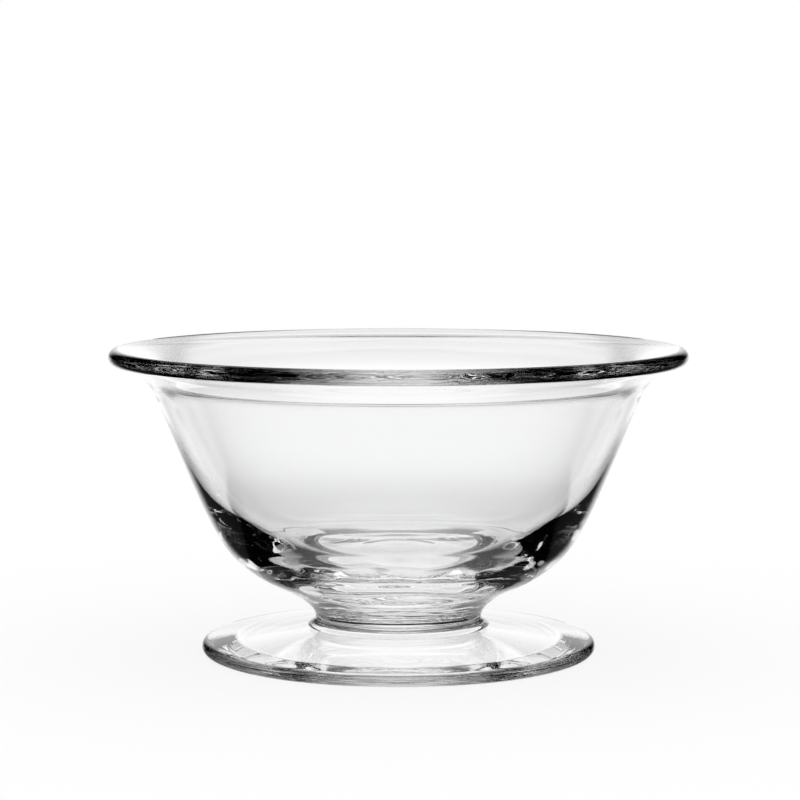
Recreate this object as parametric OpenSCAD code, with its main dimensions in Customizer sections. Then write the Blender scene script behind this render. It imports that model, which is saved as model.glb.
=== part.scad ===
// Footed trifle bowl in clear hand-made glass.
// Three gathers of glass, fused hot one on the other: a thick-walled bowl with
// a flared, fire-polished rim, a short drawn-in stem and a disc foot. Each is
// one revolved outline. Radius runs along X and height along Y in an outline.

/* [Whole bowl] */
// Height from the table to the top of the rim
overall_h = 127.3; // [120:0.1:140]
// Diameter over the rim
rim_d = 240; // [232:1:256]

/* [Rim] */
// Thickness of the rounded edge of the rim
lip_t = 6.5; // [5:0.1:7.5]
// Angle above level at which the underside runs out to the edge
lip_under_tilt = 17.5; // [14:0.1:24]
// Angle above level at which the inside runs out to the edge
lip_inner_tilt = 20; // [15:0.1:26]

/* [Bowl outside] */
// Diameter where the wall begins to flare
flare_d = 199; // [196:0.1:203]
// Height where the wall begins to flare
flare_z = 105.1; // [102:0.1:108]
// Slope of the outer wall above level, there
flare_slope = 66.6; // [62:0.1:72]
// Diameter over the hip, where the underside turns up into the wall
hip_d = 145.5; // [141:0.1:151]
// Height of the hip
hip_z = 45.4; // [43:0.1:49]
// Slope of the outside above level, at the hip
hip_slope = 55.6; // [50:0.2:60]
// Diameter where the underside stops curling out from the stem
sweep_d = 101; // [96:0.5:106]
// Height of that turn
sweep_z = 28.3; // [26.5:0.1:31]
// Slope of the underside above level, there
sweep_slope = 23; // [16:1:30]

/* [Bowl inside] */
// Thickness of the wall where it begins to flare
wall_t = 5.6; // [4.8:0.1:6.6]
// Height of the inner floor
floor_z = 39.5; // [36:0.1:42]
// Diameter of the level part of the inner floor
floor_d = 73; // [60:0.2:84]
// Inner diameter low on the wall, where it turns in to the floor
well_d = 146.6; // [144:0.2:150]
// Height of that place
well_z = 62.3; // [60:0.1:66]
// Slope of the inner wall above level, there
well_slope = 56.9; // [54:0.1:62]

/* [Stem] */
// Height of the joint between stem and bowl
bowl_joint_z = 20; // [18.5:0.1:21]
// Diameter of the joint between stem and bowl
bowl_joint_d = 74.8; // [72:0.2:78]
// Slope of the stem above level, at that joint
bowl_joint_slope = 46; // [40:1:54]
// Smallest diameter of the stem
neck_d = 69.3; // [64:0.1:71]
// Height of the smallest diameter
neck_z = 15.1; // [14:0.1:16]
// Diameter of the stem's lower end, where it sits on the foot
flange_d = 75.6; // [74:0.1:82]
// Slope of the stem above level, at its lower end
flange_slope = 51; // [42:0.5:70]

/* [Foot] */
// Diameter of the foot
foot_d = 164.5; // [150:0.5:180]
// Thickness of the rounded edge of the foot
foot_edge_t = 5.4; // [4:0.1:6.5]
// Height of the joint between foot and stem
foot_joint_z = 11.2; // [10.4:0.1:12]
// Fall of the foot's top below level, beside the stem
foot_inner_fall = 5.6; // [1:0.1:9]
// Fall of the foot's top below level, at its edge
foot_outer_fall = 7.7; // [5:0.1:14]
// Width of the flat ring that the bowl stands on
rest_w = 13.3; // [5:0.1:18]
// Height of the hollow under the foot
hollow_h = 6.5; // [2:0.1:7.2]
// Slope of the hollow above level, beside that ring
hollow_slope = 10.5; // [1:0.5:14]
// Diameter of the ground and polished mark under the foot
pontil_d = 36; // [20:1:46]
// Depth of that mark, above the hollow
pontil_depth = 0.5; // [0.3:0.1:1]
// Slope of the mark's edge above level
pontil_slope = 8; // [5:1:20]

/* [Hidden] */
$fn = 128;
curve_steps = 14;
lip_r = lip_t / 2;
edge_r = foot_edge_t / 2;
lip_centre = [rim_d / 2 - lip_r, overall_h - lip_r];
edge_centre = [foot_d / 2 - edge_r, edge_r];
clear_glass = [0.80, 0.84, 0.85, 0.45];

// How far a curve keeps the heading of its ends, as shares of the straight way
// between them: first where it leaves, then where it arrives
underside_shares = [0.26, 0.40];
sweep_shares = [0.48, 0.19];
wall_shares = [0.23, 0.30];
flare_shares = [0.24, 0.62];
inner_flare_shares = [0.50, 0.42];
inner_wall_shares = [0.30, 0.27];
inner_corner_shares = [0.62, 0.16];
flange_shares = [0.26, 0.44];
neck_shares = [0.225, 0.43];
mark_shares = [0.36, 0.30];
hollow_shares = [0.18, 0.38];
foot_top_shares = [0.25, 0.40];

function heading(angle) = [cos(angle), sin(angle)];
function middle(a, b, t) = a * (1 - t) + b * t;
function curve_point(a, b, c, d, t) =
    middle(
        middle(middle(a, b, t), middle(b, c, t), t),
        middle(middle(b, c, t), middle(c, d, t), t),
        t
    );

// One smooth stretch of outline: it leaves from at angle leave and arrives at to
// at angle arrive. The first point is left out, because the stretch before it
// ends there.
function stretch(from, leave, to, arrive, shares) =
    let (
        span = norm(to - from),
        b = from + heading(leave) * span * shares[0],
        c = to - heading(arrive) * span * shares[1]
    )
    [for (i = [1 : curve_steps]) curve_point(from, b, c, to, i / curve_steps)];

bowl_joint = [bowl_joint_d / 2, bowl_joint_z];
sweep = [sweep_d / 2, sweep_z];
hip = [hip_d / 2, hip_z];
flare = [flare_d / 2, flare_z];
lip_under = lip_centre + heading(lip_under_tilt - 90) * lip_r;
lip_inner = lip_centre + heading(lip_inner_tilt + 90) * lip_r;
mouth = flare + heading(flare_slope + 90) * wall_t;
well = [well_d / 2, well_z];
floor_edge = [floor_d / 2, floor_z];
neck = [neck_d / 2, neck_z];
flange = [flange_d / 2, foot_joint_z];
edge_top = edge_centre + heading(90 - foot_outer_fall) * edge_r;
rest_inner = [edge_centre[0] - rest_w, 0];
mark_edge = [pontil_d / 2, hollow_h];
mark_top = [0, hollow_h + pontil_depth];

// From the joint up the outside to the rim and down the inside to the floor
bowl_outline = concat(
    [[0, bowl_joint_z], bowl_joint],
    stretch(bowl_joint, bowl_joint_slope, sweep, sweep_slope, underside_shares),
    stretch(sweep, sweep_slope, hip, hip_slope, sweep_shares),
    stretch(hip, hip_slope, flare, flare_slope, wall_shares),
    stretch(flare, flare_slope, lip_under, lip_under_tilt, flare_shares),
    [lip_centre, lip_inner],
    stretch(lip_inner, lip_inner_tilt + 180, mouth, flare_slope + 180, inner_flare_shares),
    stretch(mouth, flare_slope + 180, well, well_slope + 180, inner_wall_shares),
    stretch(well, well_slope + 180, floor_edge, 180, inner_corner_shares),
    [[0, floor_z]]
);

stem_outline = concat(
    [[0, foot_joint_z], flange],
    stretch(flange, 180 - flange_slope, neck, 90, flange_shares),
    stretch(neck, 90, bowl_joint, bowl_joint_slope, neck_shares),
    [[0, bowl_joint_z]]
);

// From the mark under the foot, along the resting ring and back over the top
foot_outline = concat(
    [mark_top],
    stretch(mark_top, 0, mark_edge, -pontil_slope, mark_shares),
    stretch(mark_edge, 0, rest_inner, -hollow_slope, hollow_shares),
    [[edge_centre[0], 0], edge_centre, edge_top],
    stretch(edge_top, 180 - foot_outer_fall, flange, 180 - foot_inner_fall, foot_top_shares),
    [[0, foot_joint_z]]
);

// A revolved outline, with a round bead of radius bead_r at bead_centre
module beaded(outline, bead_centre, bead_r) {
    rotate_extrude() {
        polygon(outline);
        translate(bead_centre)
            circle(r = bead_r);
    }
}

module bowl() {
    color(clear_glass)
        beaded(bowl_outline, lip_centre, lip_r);
}

module stem() {
    color(clear_glass)
        rotate_extrude()
            polygon(stem_outline);
}

module foot() {
    color(clear_glass)
        beaded(foot_outline, edge_centre, edge_r);
}

bowl();
stem();
foot();
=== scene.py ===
# %% [markdown]
# A footed trifle bowl in clear glass.
# The real bowl is three gathers of hot glass, fused one on the other: a thick
# bowl with a flared rim, a short stem and a disc foot. Nothing on it is painted
# or joined with a fitting, so everything that the eye reads comes from the way
# the glass bends the light. This lesson therefore spends its care on four
# things: exact outlines inside and out, one unbroken body of glass across the
# fused joints, the faint marks of the tools, and a studio that gives clear
# glass its dark edges.
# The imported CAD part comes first. It is the frame that every piece is built in.

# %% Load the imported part
import math

import bpy
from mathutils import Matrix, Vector


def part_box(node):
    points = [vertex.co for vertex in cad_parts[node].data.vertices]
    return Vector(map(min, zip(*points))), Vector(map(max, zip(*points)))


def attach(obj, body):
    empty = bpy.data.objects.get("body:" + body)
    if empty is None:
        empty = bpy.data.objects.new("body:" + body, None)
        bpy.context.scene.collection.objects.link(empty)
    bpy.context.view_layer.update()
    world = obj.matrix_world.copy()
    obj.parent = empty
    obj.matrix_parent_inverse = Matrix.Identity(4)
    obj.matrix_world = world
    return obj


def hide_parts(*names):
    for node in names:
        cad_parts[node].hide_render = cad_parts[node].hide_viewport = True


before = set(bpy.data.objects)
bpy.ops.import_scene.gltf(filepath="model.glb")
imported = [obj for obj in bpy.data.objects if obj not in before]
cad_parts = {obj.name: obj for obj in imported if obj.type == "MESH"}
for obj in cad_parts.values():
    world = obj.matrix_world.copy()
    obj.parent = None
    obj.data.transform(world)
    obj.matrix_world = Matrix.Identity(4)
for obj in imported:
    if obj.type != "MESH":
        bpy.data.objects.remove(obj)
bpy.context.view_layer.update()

bowl_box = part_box("bowl")
stem_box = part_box("stem")
foot_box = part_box("foot")

# %% [markdown]
# The camera stands where the photographer stood. Its place was solved from the
# ellipses of the rim and the foot: a long lens, a little more than a metre away
# and well above the rim, looking slightly down. A long lens keeps the rim's
# ellipse flat. The bowl stands a hair to the left of the middle of the picture,
# so the camera is moved sideways by that hair and its shift stays at zero.

# %% Camera
CAMERA_DISTANCE = 1.10757
CAMERA_HEIGHT = 0.20839
CAMERA_SIDE = 0.00062
CAMERA_DOWN = math.radians(5.328)
LENS = 120.31
SEES_TO = 50

camera_data = bpy.data.cameras.new("camera")
camera_data.lens = LENS
camera_data.clip_end = SEES_TO
camera = bpy.data.objects.new("camera", camera_data)
camera.location = (CAMERA_SIDE, -CAMERA_DISTANCE, CAMERA_HEIGHT)
camera.rotation_euler = (math.radians(90) - CAMERA_DOWN, 0, 0)
bpy.context.scene.collection.objects.link(camera)
bpy.context.scene.camera = camera
print("camera at", tuple(round(c, 4) for c in camera.location))

# %% [markdown]
# The outline of a turned piece could be drawn by hand, point by point. Here it
# is a chain of smooth stretches instead, the same rule that the CAD part
# follows. Each stretch is a Bezier curve. It leaves one place at one angle,
# reaches the next place at another, and its two handles say how far each angle
# is felt. A handful of places and slopes then gives the whole section, and the
# curve bends evenly, which matters here: glass shows every kink twice.

# %% The rule for one stretch of outline
MM = 0.001
POINT_SPACING = 1.3 * MM
FEWEST_STEPS = 10


def heading(angle):
    return Vector((math.cos(math.radians(angle)), math.sin(math.radians(angle))))


def place(diameter, height):
    return Vector((diameter / 2, height)) * MM


def stretch(start, leave, end, arrive, shares):
    span = (end - start).length
    first = start + heading(leave) * span * shares[0]
    second = end - heading(arrive) * span * shares[1]
    steps = max(FEWEST_STEPS, round(span / POINT_SPACING))
    points = []
    for i in range(1, steps + 1):
        t = i / steps
        a = start.lerp(first, t)
        b = first.lerp(second, t)
        c = second.lerp(end, t)
        points.append(a.lerp(b, t).lerp(b.lerp(c, t), t))
    return points


# %% Level stretches and rounded edges
LEVEL_STEPS = 12
FEWEST_EDGE_STEPS = 12
DEGREES_PER_STEP = 8


def level(start, end):
    return [start.lerp(end, i / LEVEL_STEPS) for i in range(1, LEVEL_STEPS + 1)]


def round_edge(centre, radius, start, end):
    steps = max(FEWEST_EDGE_STEPS, round(abs(end - start) / DEGREES_PER_STEP))
    return [
        centre + heading(start + (end - start) * i / steps) * radius
        for i in range(1, steps + 1)
    ]


print("a quarter of a rounded edge has", len(round_edge(Vector((0, 0)), MM, 0, 90)), "points")

# %% [markdown]
# The places themselves. Those that the frame can tell are read from it: the
# rim, the two joints and the foot. The rest repeat the CAD part's own values,
# in millimetres and degrees.

# %% Places that the frame tells
RIM_D = (bowl_box[1].x - bowl_box[0].x) / MM
RIM_Z = bowl_box[1].z / MM
BOWL_JOINT_Z = bowl_box[0].z / MM
FOOT_JOINT_Z = stem_box[0].z / MM
FLANGE_D = (stem_box[1].x - stem_box[0].x) / MM
FOOT_D = 2 * foot_box[1].x / MM
print("rim", round(RIM_D, 2), "wide,", round(RIM_Z, 2), "high; foot", round(FOOT_D, 2), "wide")

# %% Places on the bowl
LIP_R = 3.25
LIP_UNDER_TILT, LIP_INNER_TILT = 17.5, 20
FLARE_SLOPE, HIP_SLOPE, SWEEP_SLOPE, JOINT_SLOPE = 66.6, 55.6, 23, 46
WALL_T = 5.6
WELL_SLOPE = 56.9
lip_centre = place(RIM_D - 2 * LIP_R, RIM_Z - LIP_R)
lip_under = lip_centre + heading(LIP_UNDER_TILT - 90) * LIP_R * MM
lip_inner = lip_centre + heading(LIP_INNER_TILT + 90) * LIP_R * MM
bowl_joint = place(74.8, BOWL_JOINT_Z)
sweep = place(101, 28.3)
hip = place(145.5, 45.4)
flare = place(199, 105.1)
mouth = flare + heading(FLARE_SLOPE + 90) * WALL_T * MM
well = place(146.6, 62.3)
floor_edge = place(73, 39.5)
print("wall", WALL_T, "mm thick at the flare, base", round(floor_edge.y / MM - BOWL_JOINT_Z, 1), "mm")

# %% Places on the stem and the foot
FLANGE_SLOPE = 51
neck = place(69.3, 15.1)
flange = place(FLANGE_D, FOOT_JOINT_Z)
FOOT_EDGE_R = 2.7
FOOT_OUTER_FALL, FOOT_INNER_FALL = 7.7, 5.6
HOLLOW_H, HOLLOW_SLOPE, REST_W = 6.5, 10.5, 13.3
MARK_D, MARK_DEPTH, MARK_SLOPE = 36, 0.5, 8
edge_centre = place(FOOT_D - 2 * FOOT_EDGE_R, FOOT_EDGE_R)
edge_top = edge_centre + heading(90 - FOOT_OUTER_FALL) * FOOT_EDGE_R * MM
rest_outer = Vector((edge_centre.x, 0))
rest_inner = rest_outer - Vector((REST_W * MM, 0))
mark_edge = place(MARK_D, HOLLOW_H)
mark_top = place(0, HOLLOW_H + MARK_DEPTH)
print("the foot stands on a ring", REST_W, "mm wide and is", round(flange.y / MM - HOLLOW_H, 1), "mm thick")

# %% [markdown]
# Three closed outlines follow, each from the axis round to the axis again. The
# bowl's runs from the fused joint up the outside, over the rim and down the
# inside to the floor. The inside matters as much as the outside, though it is
# only seen through the wall: the thick base works as a lens. It can't be
# measured in the photograph. So it is a guess, fitted until light traced through
# it fell much as it does there, and so is the hollow under the foot. Each named
# pair of numbers says how far one stretch feels its two angles.

# %% Outline of the bowl
UNDER, SWELL, SIDE, LIP_OUTSIDE = (0.26, 0.40), (0.48, 0.19), (0.23, 0.30), (0.24, 0.62)
LIP_INSIDE, WALL_INSIDE, CORNER = (0.50, 0.42), (0.30, 0.27), (0.62, 0.16)
bowl_outline = [Vector((0, bowl_joint.y)), *level(Vector((0, bowl_joint.y)), bowl_joint)]
bowl_outline += stretch(bowl_joint, JOINT_SLOPE, sweep, SWEEP_SLOPE, UNDER)
bowl_outline += stretch(sweep, SWEEP_SLOPE, hip, HIP_SLOPE, SWELL)
bowl_outline += stretch(hip, HIP_SLOPE, flare, FLARE_SLOPE, SIDE)
bowl_outline += stretch(flare, FLARE_SLOPE, lip_under, LIP_UNDER_TILT, LIP_OUTSIDE)
bowl_outline += round_edge(lip_centre, LIP_R * MM, LIP_UNDER_TILT - 90, LIP_INNER_TILT + 90)
bowl_outline += stretch(lip_inner, LIP_INNER_TILT + 180, mouth, FLARE_SLOPE + 180, LIP_INSIDE)
bowl_outline += stretch(mouth, FLARE_SLOPE + 180, well, WELL_SLOPE + 180, WALL_INSIDE)
bowl_outline += stretch(well, WELL_SLOPE + 180, floor_edge, 180, CORNER)
bowl_outline += level(floor_edge, Vector((0, floor_edge.y)))
print("bowl outline:", len(bowl_outline), "points")

# %% Outline of the stem
STEM_BELOW_NECK, STEM_ABOVE_NECK = (0.26, 0.44), (0.225, 0.43)
stem_outline = [Vector((0, flange.y)), *level(Vector((0, flange.y)), flange)]
stem_outline += stretch(flange, 180 - FLANGE_SLOPE, neck, 90, STEM_BELOW_NECK)
stem_outline += stretch(neck, 90, bowl_joint, JOINT_SLOPE, STEM_ABOVE_NECK)
stem_outline += level(bowl_joint, Vector((0, bowl_joint.y)))
print("stem outline:", len(stem_outline), "points")

# %% Outline of the foot
GROUND_MARK, HOLLOW, FOOT_TOP = (0.36, 0.30), (0.18, 0.38), (0.25, 0.40)
foot_outline = [mark_top, *stretch(mark_top, 0, mark_edge, -MARK_SLOPE, GROUND_MARK)]
foot_outline += stretch(mark_edge, 0, rest_inner, -HOLLOW_SLOPE, HOLLOW)
foot_outline += level(rest_inner, rest_outer)
foot_outline += round_edge(edge_centre, FOOT_EDGE_R * MM, -90, 90 - FOOT_OUTER_FALL)
foot_outline += stretch(edge_top, 180 - FOOT_OUTER_FALL, flange, 180 - FOOT_INNER_FALL, FOOT_TOP)
foot_outline += level(flange, Vector((0, flange.y)))
print("foot outline:", len(foot_outline), "points")

# %% [markdown]
# Geometry and materials are both built from nodes in this lesson, so a few
# helpers come first. They make a node, join numbers by arithmetic, and fade
# softly from nothing to all between two values. Where the first of the two is
# the larger, the fade grows towards the smaller one.

# %% Node helpers
def node(tree, kind, **settings):
    made = tree.nodes.new(kind)
    for key, value in settings.items():
        setattr(made, key, value)
    return made


def feed(tree, sockets, values):
    for socket, value in zip(sockets, values):
        if isinstance(value, (int, float, tuple)):
            socket.default_value = value
        else:
            tree.links.new(value, socket)


def maths(tree, operation, *values):
    made = node(tree, "ShaderNodeMath", operation=operation)
    feed(tree, made.inputs, values)
    return made.outputs[0]


def vector_maths(tree, operation, *values):
    made = node(tree, "ShaderNodeVectorMath", operation=operation)
    feed(tree, made.inputs, values)
    return made.outputs["Value" if operation == "LENGTH" else "Vector"]


# %% Fades and combinations
def fade(tree, value, start, end):
    made = node(tree, "ShaderNodeMapRange", interpolation_type="SMOOTHSTEP")
    tree.links.new(value, made.inputs["Value"])
    made.inputs["From Min"].default_value = start
    made.inputs["From Max"].default_value = end
    return made.outputs[0]


def times(tree, *values):
    result = values[0]
    for value in values[1:]:
        result = maths(tree, "MULTIPLY", result, value)
    return result


def most(tree, *values):
    result = values[0]
    for value in values[1:]:
        result = maths(tree, "MAXIMUM", result, value)
    return result


def rest_of(tree, value):
    return maths(tree, "SUBTRACT", 1.0, value)


# %% [markdown]
# Clear glass needs almost no colour. What sets it apart is its index of
# refraction, 1.51 for soda-lime glass, and a fire-polished skin. The finish has
# one more thing to show. While the piece spins, the jacks and pads that shape
# it leave faint ridges round the axis. They are far too shallow to feel, but
# they break the dark reflections of the rim, the stem and the foot into fine
# streaks. A bump can draw them. Its pattern is a noise that is stretched round
# the axis: slow in the direction of the turn, and quick in radius and height.

# %% Where a point lies on a turned piece
def turned_place(tree):
    spot = node(tree, "ShaderNodeTexCoord").outputs["Object"]
    split = node(tree, "ShaderNodeSeparateXYZ")
    tree.links.new(spot, split.inputs[0])
    beside = vector_maths(tree, "MULTIPLY", spot, (1, 1, 0))
    reach = vector_maths(tree, "LENGTH", beside)
    around = vector_maths(tree, "NORMALIZE", beside)
    return split.outputs["Z"], reach, around


# %% Faint marks of the tools
MARKS_AROUND = 4.0
MARK_WIDTH = 0.0013
MARK_HEIGHT = 0.00002
MARK_DETAIL = 2


def tool_marks(tree, strength_of):
    height, reach, around = turned_place(tree)
    turned = vector_maths(tree, "MULTIPLY", around, (MARKS_AROUND,) * 3)
    outward = node(tree, "ShaderNodeCombineXYZ")
    tree.links.new(maths(tree, "DIVIDE", reach, MARK_WIDTH), outward.inputs["Z"])
    marks = node(tree, "ShaderNodeTexNoise", noise_dimensions="4D")
    marks.inputs["Scale"].default_value = 1
    marks.inputs["Detail"].default_value = MARK_DETAIL
    tree.links.new(vector_maths(tree, "ADD", turned, outward.outputs[0]), marks.inputs["Vector"])
    tree.links.new(maths(tree, "DIVIDE", height, MARK_WIDTH), marks.inputs["W"])
    strength = strength_of(tree, height, reach)
    bump = node(tree, "ShaderNodeBump")
    bump.inputs["Distance"].default_value = MARK_HEIGHT
    tree.links.new(times(tree, marks.outputs["Fac"], strength), bump.inputs["Height"])
    return bump.outputs[0]


# %% [markdown]
# The thick base holds cords: glass that was folded in as the gathers were
# worked together, and that never quite blended. They pull the dark and bright
# reflections into soft swirls. A cord lies inside the glass and has no shape
# on its skin. So a second bump stands in for it, far broader than the tool
# marks, all round below the floor of the bowl and, on the front, up to the
# inner corner.

# %% Swirls in the thick base
SWIRL_SIZE = 0.016
SWIRL_HEIGHT = 0.001
BELOW_FLOOR = (0.037, 0.031)
BELOW_CORNER = (0.052, 0.046)
WITHIN_CORNER = (0.067, 0.064)
NEAR_MIDDLE = (0.037, 0.027)
ON_FRONT = (0.0, -0.01)


def where_cords_lie(tree):
    spot = node(tree, "ShaderNodeTexCoord").outputs["Object"]
    split = node(tree, "ShaderNodeSeparateXYZ")
    tree.links.new(spot, split.inputs[0])
    reach = vector_maths(tree, "LENGTH", vector_maths(tree, "MULTIPLY", spot, (1, 1, 0)))
    below_floor = fade(tree, split.outputs["Z"], *BELOW_FLOOR)
    below_corner = fade(tree, split.outputs["Z"], *BELOW_CORNER)
    within_corner = fade(tree, reach, *WITHIN_CORNER)
    near_middle = fade(tree, maths(tree, "ABSOLUTE", split.outputs["X"]), *NEAR_MIDDLE)
    on_front = fade(tree, split.outputs["Y"], *ON_FRONT)
    front_fold = times(tree, below_corner, within_corner, near_middle, on_front)
    return most(tree, below_floor, front_fold)


def swirls(tree, under):
    spot = node(tree, "ShaderNodeTexCoord").outputs["Object"]
    cords = node(tree, "ShaderNodeTexNoise")
    cords.inputs["Scale"].default_value = 1 / SWIRL_SIZE
    cords.inputs["Detail"].default_value = 0
    tree.links.new(spot, cords.inputs["Vector"])
    bump = node(tree, "ShaderNodeBump")
    bump.inputs["Distance"].default_value = SWIRL_HEIGHT
    tree.links.new(times(tree, cords.outputs["Fac"], where_cords_lie(tree)), bump.inputs["Height"])
    tree.links.new(under, bump.inputs["Normal"])
    return bump.outputs[0]


# %% [markdown]
# The tools touch some places more than others. The jacks run longest on the
# stem and on the base next to it. The rim and the edge of the foot are finished
# last, each with its own tool. The wall and the top of the foot stay almost
# clean, because the fire smooths them again.

# %% Where the marks are strong
RIM_ABOVE, BASE_BELOW, FOOT_EDGE_BEYOND = (0.108, 0.120), (0.036, 0.024), (0.072, 0.078)
RIM_MARKS, WALL_MARKS, STEM_MARKS, FOOT_TOP_MARKS = 0.35, 0.03, 1.5, 0.05


def marks_on_bowl(tree, height, reach):
    rim = times(tree, fade(tree, height, *RIM_ABOVE), RIM_MARKS)
    return most(tree, rim, fade(tree, height, *BASE_BELOW), WALL_MARKS)


def marks_on_stem(tree, height, reach):
    return STEM_MARKS


def marks_on_foot(tree, height, reach):
    return most(tree, fade(tree, reach, *FOOT_EDGE_BEYOND), FOOT_TOP_MARKS)


# %% Clear glass
GLASS_TINT = (0.99, 0.992, 0.992, 1)
GLASS_IOR = 1.51


def clear_glass(name, strength_of, swirled=False):
    material = bpy.data.materials.new(name)
    material.use_nodes = True
    tree = material.node_tree
    shader = tree.nodes["Principled BSDF"]
    shader.inputs["Base Color"].default_value = GLASS_TINT
    shader.inputs["Transmission Weight"].default_value = 1
    shader.inputs["IOR"].default_value = GLASS_IOR
    shader.inputs["Roughness"].default_value = 0
    skin = tool_marks(tree, strength_of)
    if swirled:
        skin = swirls(tree, skin)
    tree.links.new(skin, shader.inputs["Normal"])
    print(name, "has", len(tree.nodes), "nodes")
    return material


bowl_glass = clear_glass("fire_polished_bowl_glass", marks_on_bowl, swirled=True)
stem_glass = clear_glass("tooled_stem_glass", marks_on_stem)
foot_glass = clear_glass("pressed_foot_glass", marks_on_foot)

# %% [markdown]
# Where two gathers fuse, the real glass has no surface at all. Each piece here
# is a closed solid of its own, so two faces meet at a joint. Left in plain
# glass they would mirror the light like a crack. So the faces of a joint get a
# material that lets light through unchanged, and the three solids look like
# the one body of glass that they are.

# %% Glass that has fused
fused_joint = bpy.data.materials.new("fused_joint")
fused_joint.use_nodes = True
joint_shader = fused_joint.node_tree.nodes["Principled BSDF"]
joint_shader.inputs["Base Color"].default_value = GLASS_TINT
joint_shader.inputs["Alpha"].default_value = 0
print("made", fused_joint.name)

# %% [markdown]
# All three pieces are turned, so one Geometry Nodes tree serves as the lathe.
# It lays a grid with a row for each point of the outline and a column for each
# step of the turn, and puts each grid point where its outline point comes to
# after its share of the turn. Points on the axis and on the closing seam are
# merged, which leaves a closed solid.

# %% Lathe: turn the outline
MERGE_WITHIN = 1e-6


def turned_surface(tree, given):
    link = tree.links.new
    columns = node(tree, "FunctionNodeIntegerMath", operation="ADD")
    link(given["Turn steps"], columns.inputs[0])
    columns.inputs[1].default_value = 1
    grid = node(tree, "GeometryNodeMeshGrid")
    link(given["Outline points"], grid.inputs["Vertices X"])
    link(columns.outputs[0], grid.inputs["Vertices Y"])
    index = node(tree, "GeometryNodeInputIndex").outputs[0]
    row = node(tree, "FunctionNodeIntegerMath", operation="DIVIDE_FLOOR")
    step = node(tree, "FunctionNodeIntegerMath", operation="MODULO")
    for share in (row, step):
        link(index, share.inputs[0])
        link(columns.outputs[0], share.inputs[1])
    drawn = node(tree, "GeometryNodeSampleIndex", data_type="FLOAT_VECTOR", domain="POINT")
    link(given["Geometry"], drawn.inputs["Geometry"])
    link(node(tree, "GeometryNodeInputPosition").outputs[0], drawn.inputs["Value"])
    link(row.outputs[0], drawn.inputs["Index"])
    part_turn = maths(tree, "DIVIDE", step.outputs[0], given["Turn steps"])
    rotate = node(tree, "ShaderNodeVectorRotate", rotation_type="Z_AXIS")
    link(drawn.outputs[0], rotate.inputs["Vector"])
    link(maths(tree, "MULTIPLY", part_turn, 2 * math.pi), rotate.inputs["Angle"])
    turned = node(tree, "GeometryNodeSetPosition")
    link(grid.outputs["Mesh"], turned.inputs["Geometry"])
    link(rotate.outputs[0], turned.inputs["Position"])
    outwards = node(tree, "GeometryNodeFlipFaces")
    link(turned.outputs[0], outwards.inputs[0])
    merged = node(tree, "GeometryNodeMergeByDistance")
    merged.inputs["Distance"].default_value = MERGE_WITHIN
    link(outwards.outputs[0], merged.inputs["Geometry"])
    return merged.outputs[0]


# %% [markdown]
# Hand-made glass is never quite true. A slow, slight wave runs all over it,
# which is noise on the position of the point. It has one fixed seed, so that
# two pieces move alike where they meet. It fades out towards the table,
# because the ring that the foot stands on was ground flat.

# %% Lathe: the wave of hand work
ABOVE_TABLE = (0.0, 0.006)


def wave(tree, given, share):
    noise = node(tree, "ShaderNodeTexNoise", noise_dimensions="4D")
    noise.inputs["Detail"].default_value = 0
    tree.links.new(node(tree, "GeometryNodeInputPosition").outputs[0], noise.inputs["Vector"])
    tree.links.new(given["Seed"], noise.inputs["W"])
    tree.links.new(maths(tree, "DIVIDE", 1.0, given["Wave size"]), noise.inputs["Scale"])
    centred = vector_maths(tree, "SUBTRACT", noise.outputs["Color"], (0.5, 0.5, 0.5))
    sized = node(tree, "ShaderNodeVectorMath", operation="SCALE")
    tree.links.new(centred, sized.inputs[0])
    tree.links.new(times(tree, given["Waviness"], share), sized.inputs["Scale"])
    return sized.outputs[0]


def waved(tree, given, surface):
    split = node(tree, "ShaderNodeSeparateXYZ")
    tree.links.new(node(tree, "GeometryNodeInputPosition").outputs[0], split.inputs[0])
    above_table = fade(tree, split.outputs["Z"], *ABOVE_TABLE)
    moved = node(tree, "GeometryNodeSetPosition")
    tree.links.new(surface, moved.inputs["Geometry"])
    tree.links.new(wave(tree, given, above_table), moved.inputs["Offset"])
    return moved.outputs[0]


# %% [markdown]
# Fire-polished skin is smooth, so the faces are shaded smooth. Only where two
# faces meet at more than the crease angle, as at the rim of a joint, does the
# edge stay sharp.

# %% Lathe: smooth skin and sharp creases
CREASE = math.radians(25)


def creased(tree, surface):
    smooth = node(tree, "GeometryNodeSetShadeSmooth", domain="FACE")
    smooth.inputs["Shade Smooth"].default_value = True
    tree.links.new(surface, smooth.inputs["Geometry"])
    corner = node(tree, "FunctionNodeCompare", data_type="FLOAT", operation="GREATER_THAN")
    edge = node(tree, "GeometryNodeInputMeshEdgeAngle")
    tree.links.new(edge.outputs["Unsigned Angle"], corner.inputs["A"])
    corner.inputs["B"].default_value = CREASE
    sharp = node(tree, "GeometryNodeSetShadeSmooth", domain="EDGE")
    sharp.inputs["Shade Smooth"].default_value = False
    tree.links.new(smooth.outputs[0], sharp.inputs["Geometry"])
    tree.links.new(corner.outputs[0], sharp.inputs["Selection"])
    return sharp.outputs[0]


# %% [markdown]
# The lathe also knows which faces are joints: those that lie level, at the
# height of a joint, and within its radius.

# %% Lathe: find the faces of a joint
LEVEL_ENOUGH = 0.95
JOINT_SLACK = 0.0003


def near_height(tree, height, joint_height):
    near = node(tree, "FunctionNodeCompare", data_type="FLOAT", operation="EQUAL")
    tree.links.new(height, near.inputs["A"])
    tree.links.new(joint_height, near.inputs["B"])
    near.inputs["Epsilon"].default_value = JOINT_SLACK
    return near.outputs[0]


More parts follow.
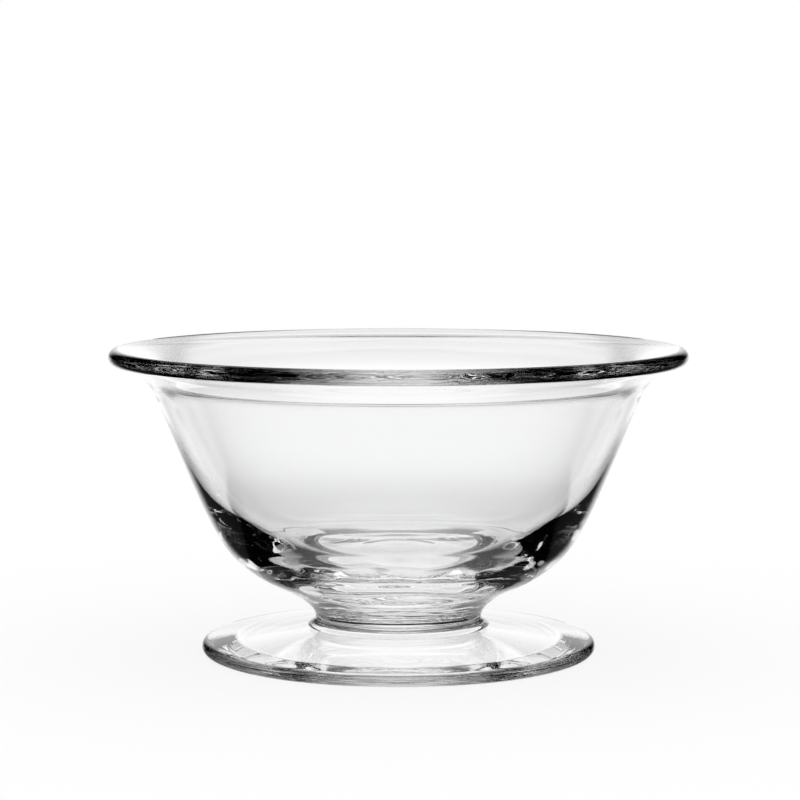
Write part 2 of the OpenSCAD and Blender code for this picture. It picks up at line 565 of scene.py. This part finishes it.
def joint_faces(tree, given):
    spot = node(tree, "GeometryNodeInputPosition").outputs[0]
    split = node(tree, "ShaderNodeSeparateXYZ")
    tree.links.new(spot, split.inputs[0])
    normal = node(tree, "ShaderNodeSeparateXYZ")
    tree.links.new(node(tree, "GeometryNodeInputNormal").outputs[0], normal.inputs[0])
    lies_level = maths(tree, "GREATER_THAN", maths(tree, "ABSOLUTE", normal.outputs["Z"]), LEVEL_ENOUGH)
    reach = vector_maths(tree, "LENGTH", vector_maths(tree, "MULTIPLY", spot, (1, 1, 0)))
    within = maths(tree, "LESS_THAN", reach, given["Joint radius"])
    low = near_height(tree, split.outputs["Z"], given["Lower joint"])
    high = near_height(tree, split.outputs["Z"], given["Upper joint"])
    return times(tree, most(tree, low, high), lies_level, within)


# %% Lathe: the whole tree
LATHE_INPUTS = (
    ("Outline points", "NodeSocketInt"),
    ("Turn steps", "NodeSocketInt"),
    ("Waviness", "NodeSocketFloat"),
    ("Wave size", "NodeSocketFloat"),
    ("Seed", "NodeSocketFloat"),
    ("Lower joint", "NodeSocketFloat"),
    ("Upper joint", "NodeSocketFloat"),
    ("Joint radius", "NodeSocketFloat"),
    ("Glass", "NodeSocketMaterial"),
    ("Fused joint", "NodeSocketMaterial"),
)


def glass_lathe():
    tree = bpy.data.node_groups.new("glass_lathe", "GeometryNodeTree")
    tree.interface.new_socket("Geometry", in_out="INPUT", socket_type="NodeSocketGeometry")
    for label, kind in LATHE_INPUTS:
        tree.interface.new_socket(label, in_out="INPUT", socket_type=kind)
    tree.interface.new_socket("Geometry", in_out="OUTPUT", socket_type="NodeSocketGeometry")
    given = node(tree, "NodeGroupInput").outputs
    skin = creased(tree, waved(tree, given, turned_surface(tree, given)))
    glazed = node(tree, "GeometryNodeSetMaterial")
    tree.links.new(skin, glazed.inputs["Geometry"])
    tree.links.new(given["Glass"], glazed.inputs["Material"])
    real = node(tree, "GeometryNodeRealizeInstances")
    tree.links.new(glazed.outputs[0], real.inputs["Geometry"])
    joined = node(tree, "GeometryNodeSetMaterial")
    tree.links.new(real.outputs[0], joined.inputs["Geometry"])
    tree.links.new(joint_faces(tree, given), joined.inputs["Selection"])
    tree.links.new(given["Fused joint"], joined.inputs["Material"])
    tree.links.new(joined.outputs[0], node(tree, "NodeGroupOutput").inputs["Geometry"])
    return tree


lathe = glass_lathe()
print("the lathe has", len(lathe.nodes), "nodes")

# %% [markdown]
# To turn a piece, its outline becomes a string of points on a scratch object,
# the lathe is put on it as a modifier, and the result is taken off as a plain
# mesh without the empty material slot of the scratch object. 288 steps to a
# turn keep the silhouette round and the streaks smooth, and stay well under the
# size that a piece may have.

# %% Settings for the lathe
TURN_STEPS = 288
WAVINESS = 0.00012
WAVE_SIZE = 0.045
SEED = 7.0
NO_JOINT = -1.0


def lathe_settings(points, joints, joint_radius, glass):
    return {
        "Outline points": points,
        "Turn steps": TURN_STEPS,
        "Waviness": WAVINESS,
        "Wave size": WAVE_SIZE,
        "Seed": SEED,
        "Lower joint": joints[0],
        "Upper joint": joints[1],
        "Joint radius": joint_radius,
        "Glass": glass,
        "Fused joint": fused_joint,
    }


# %% Turn one piece
def drawn_outline(name, outline):
    mesh = bpy.data.meshes.new(name + "_outline")
    points = [(p.x, 0, p.y) for p in outline]
    mesh.from_pydata(points, [(i, i + 1) for i in range(len(points) - 1)], [])
    drawn = bpy.data.objects.new(name + "_outline", mesh)
    bpy.context.scene.collection.objects.link(drawn)
    return drawn


def turn_piece(name, outline, joints, joint_radius, glass):
    drawn = drawn_outline(name, outline)
    modifier = drawn.modifiers.new("lathe", "NODES")
    modifier.node_group = lathe
    values = lathe_settings(len(outline), joints, joint_radius, glass)
    for item in lathe.interface.items_tree:
        if item.in_out == "INPUT" and item.name in values:
            modifier[item.identifier] = values[item.name]
    drawn.update_tag()
    shown = drawn.evaluated_get(bpy.context.evaluated_depsgraph_get())
    solid = bpy.data.meshes.new_from_object(shown)
    solid.name = name
    solid.materials.pop(index=0)
    piece = bpy.data.objects.new(name, solid)
    bpy.context.scene.collection.objects.link(piece)
    bpy.data.objects.remove(drawn)
    print(name, len(solid.polygons), "faces in", [m.name for m in solid.materials])
    return piece


# %% Turn the bowl, the stem and the foot
clear_bowl = turn_piece("clear_bowl", bowl_outline, (NO_JOINT, bowl_joint.y), bowl_joint.x, bowl_glass)
clear_stem = turn_piece("clear_stem", stem_outline, (flange.y, bowl_joint.y), flange.x, stem_glass)
clear_foot = turn_piece("clear_foot", foot_outline, (NO_JOINT, flange.y), flange.x, foot_glass)

# %% [markdown]
# Each turned piece stands for one CAD node, rides on the only body there is,
# and keeps the glass that it was turned with; the CAD node itself is hidden.

# %% Stand for the CAD nodes
for piece, cad_node, finish_slot in (
    (clear_bowl, "bowl", "bowl_glass"),
    (clear_stem, "stem", "stem_glass"),
    (clear_foot, "foot", "foot_glass"),
):
    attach(piece, "root")
    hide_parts(cad_node)
    print(piece.name, "stands for", cad_node)

# %% [markdown]
# The bowl stands on white paper. The paper's own colour is nearly white, and
# part of what the camera sees of it is plain white light, all of it further
# out, so that the ground runs into the white background while a soft shadow
# stays under the foot. Glass doesn't see this sheet. What it sees in its place
# is the table in the next step.

# %% Floor
FLOOR_SIZE = 12
half = FLOOR_SIZE / 2
floor_corners = [(-half, -half, 0), (half, -half, 0), (half, half, 0), (-half, half, 0)]
floor_mesh = bpy.data.meshes.new("floor")
floor_mesh.from_pydata(floor_corners, [], [(0, 1, 2, 3)])
floor = bpy.data.objects.new("floor", floor_mesh)
bpy.context.scene.collection.objects.link(floor)
floor.visible_transmission = False
floor.visible_glossy = False
print("floor", FLOOR_SIZE, "m square")

# %% White paper
PAPER_WHITE = (0.95, 0.95, 0.95, 1)
GLOW_NEAR = 0.85
GLOW_GROWS = (0.1, 0.4)
floor_material = bpy.data.materials.new("floor_paper")
floor_material.use_nodes = True
paper_tree = floor_material.node_tree
paper_tree.nodes.clear()
paper_spot = node(paper_tree, "ShaderNodeTexCoord").outputs["Object"]
further_out = fade(paper_tree, vector_maths(paper_tree, "LENGTH", paper_spot), *GLOW_GROWS)
glow_share = maths(paper_tree, "MULTIPLY_ADD", further_out, 1 - GLOW_NEAR, GLOW_NEAR)
seen_by_camera = node(paper_tree, "ShaderNodeLightPath").outputs["Is Camera Ray"]
paper = node(paper_tree, "ShaderNodeBsdfDiffuse")
paper.inputs["Color"].default_value = PAPER_WHITE
glow = node(paper_tree, "ShaderNodeEmission")
mix = node(paper_tree, "ShaderNodeMixShader")
camera_glow = times(paper_tree, glow_share, seen_by_camera)
feed(paper_tree, mix.inputs, (camera_glow, paper.outputs[0], glow.outputs[0]))
paper_tree.links.new(mix.outputs[0], node(paper_tree, "ShaderNodeOutputMaterial").inputs[0])
floor_mesh.materials.append(floor_material)
print("paper with", len(paper_tree.nodes), "nodes")

# %% [markdown]
# Clear glass in front of a white wall all round would all but vanish, so a
# photographer lights it from behind: a lit backdrop behind the bowl, a
# softbox overhead, a white table, and dark flags at both sides. Glass bends
# the flags into its thick places, and they turn into the dark edges that draw
# it. All this is one soft world here, of light by direction: turn is the angle
# from straight behind the bowl, 180 at the camera's side, and rise is the
# angle above level. Only light that has met glass sees it so. For all else the
# world is plain white, the camera included, so this studio couldn't be built as
# it is. Where its lights stand and how bright they are was fitted too, by
# tracing light back through the glass from the photograph's view.

# %% Directions round the bowl
studio = bpy.data.worlds.new("studio")
studio.use_nodes = True
bpy.context.scene.world = studio
sky = studio.node_tree
sky.nodes.clear()
direction = node(sky, "ShaderNodeSeparateXYZ")
sky.links.new(node(sky, "ShaderNodeTexCoord").outputs["Generated"], direction.inputs[0])
sideways = maths(sky, "ABSOLUTE", direction.outputs["X"])
turn = maths(sky, "MULTIPLY", maths(sky, "ARCTAN2", sideways, direction.outputs["Y"]), 180 / math.pi)
rise = maths(sky, "MULTIPLY", maths(sky, "ARCSINE", direction.outputs["Z"]), 180 / math.pi)
print("the world finds turn and rise with", len(sky.nodes), "nodes")

# %% [markdown]
# Every light and every flag is a soft-edged patch of this world. A patch is
# given by the degrees of turn and of rise between which each of its edges
# fades in, and by its level.

# %% One soft patch
def patch(turns, rises, patch_level=1.0):
    edges = [fade(sky, turn, *between) for between in turns]
    edges += [fade(sky, rise, *between) for between in rises]
    return times(sky, *edges, patch_level)


# %% Backdrop and softbox
backdrop = patch(turns=[(25, 7)], rises=[(30, 11)])
softbox = patch(turns=[(47, 18)], rises=[(28, 35), (69, 61)], patch_level=0.85)
print("backdrop and softbox are lit")

# %% [markdown]
# The table is white from its far edge down to the camera's side. The flags
# stand beside it, and a second, lower pair keeps its light out of the thick
# base. The bowl's own shade lies on it. Between flag and flag, square to the
# camera, a narrow gap stays lit, so that the bowl is clear from the side too.

# %% Table, flags and the gap between them
flags = patch(turns=[(30, 41), (118, 110)], rises=[(-20, -17)])
low_flags = patch(turns=[(53, 62), (90, 82)], rises=[(-37, -32)])
bowl_shade = patch(turns=[(7, 23)], rises=[(-68, -57), (-31, -33)], patch_level=0.9)
far_edge = patch(turns=[(118, 106)], rises=[(1.5, -2.5)])
table_top = patch(turns=[], rises=[(-6, -11)])
side_gap = patch(turns=[(84, 87), (101, 97)], rises=[(1, -2), (-36, -26)], patch_level=0.8)
unshaded = rest_of(sky, most(sky, flags, low_flags, bowl_shade))
table = times(sky, most(sky, far_edge, table_top), unshaded)
lights = most(sky, backdrop, softbox, table, side_gap)
print("table, flags and gap bring the world to", len(sky.nodes), "nodes")

# %% [markdown]
# The wall of the bowl is a soft grey that deepens downwards. It looks through
# the glass at the table, so here the table is brightest at its far end, next to
# the lit backdrop, and dimmer nearer to the bowl. The two levels are set to
# match that grey, and the far one goes a little over white.

# %% Brighter far end, dimmer near end
FAR_GAIN = 0.11
NEAR_LOSS = 0.25
far_gain = patch(turns=[], rises=[(4, -5)], patch_level=FAR_GAIN)
near_loss = patch(turns=[(30, 12)], rises=[(-8, -21)], patch_level=NEAR_LOSS)
table_level = maths(sky, "SUBTRACT", maths(sky, "ADD", 1.0, far_gain), near_loss)
seen_through = times(sky, lights, table_level)
print("far end at", round(1 + FAR_GAIN, 2), "near end at", round(1 + FAR_GAIN - NEAR_LOSS, 2))

# %% [markdown]
# The skin of the glass mirrors these lights too. Left as it is, that makes the
# dark wedges low on each side clearly lighter than in the photograph. A
# polarising filter on the lens could hold it back, because it dims what the
# skin mirrors more than what shines through it, but nothing tells whether one
# was used. This is a simple stand-in, by direction alone: to a mirrored ray the
# sides are almost dark.

# %% Mirrored light, and the finished studio
filtered = patch(turns=[(16, 30)], rises=[(-78, -58)], patch_level=0.95)
mirrored = times(sky, lights, rest_of(sky, filtered))
path = node(sky, "ShaderNodeLightPath")
passes = path.outputs["Is Transmission Ray"]
bounces = times(sky, path.outputs["Is Glossy Ray"], rest_of(sky, passes))
dark_behind = times(sky, passes, rest_of(sky, seen_through))
dark_mirrored = times(sky, bounces, rest_of(sky, mirrored))
dimmed = maths(sky, "ADD", dark_behind, dark_mirrored)
background = node(sky, "ShaderNodeBackground")
background.inputs["Color"].default_value = (1, 1, 1, 1)
sky.links.new(rest_of(sky, dimmed), background.inputs["Strength"])
sky.links.new(background.outputs[0], node(sky, "ShaderNodeOutputWorld").inputs[0])
print("the studio has", len(sky.nodes), "nodes")

# %% [markdown]
# Light crosses many faces of glass on its way through the thick base, so the
# renderer is allowed long paths. Colours are shown as they are written.

# %% Long light paths
LONG_PATH = 32
MIRRORED_PATH = 16
scene = bpy.context.scene
scene.view_settings.view_transform = "Standard"
scene.cycles.max_bounces = LONG_PATH
scene.cycles.transmission_bounces = LONG_PATH
scene.cycles.glossy_bounces = MIRRORED_PATH
scene.cycles.transparent_max_bounces = LONG_PATH
print("up to", scene.cycles.max_bounces, "bounces")
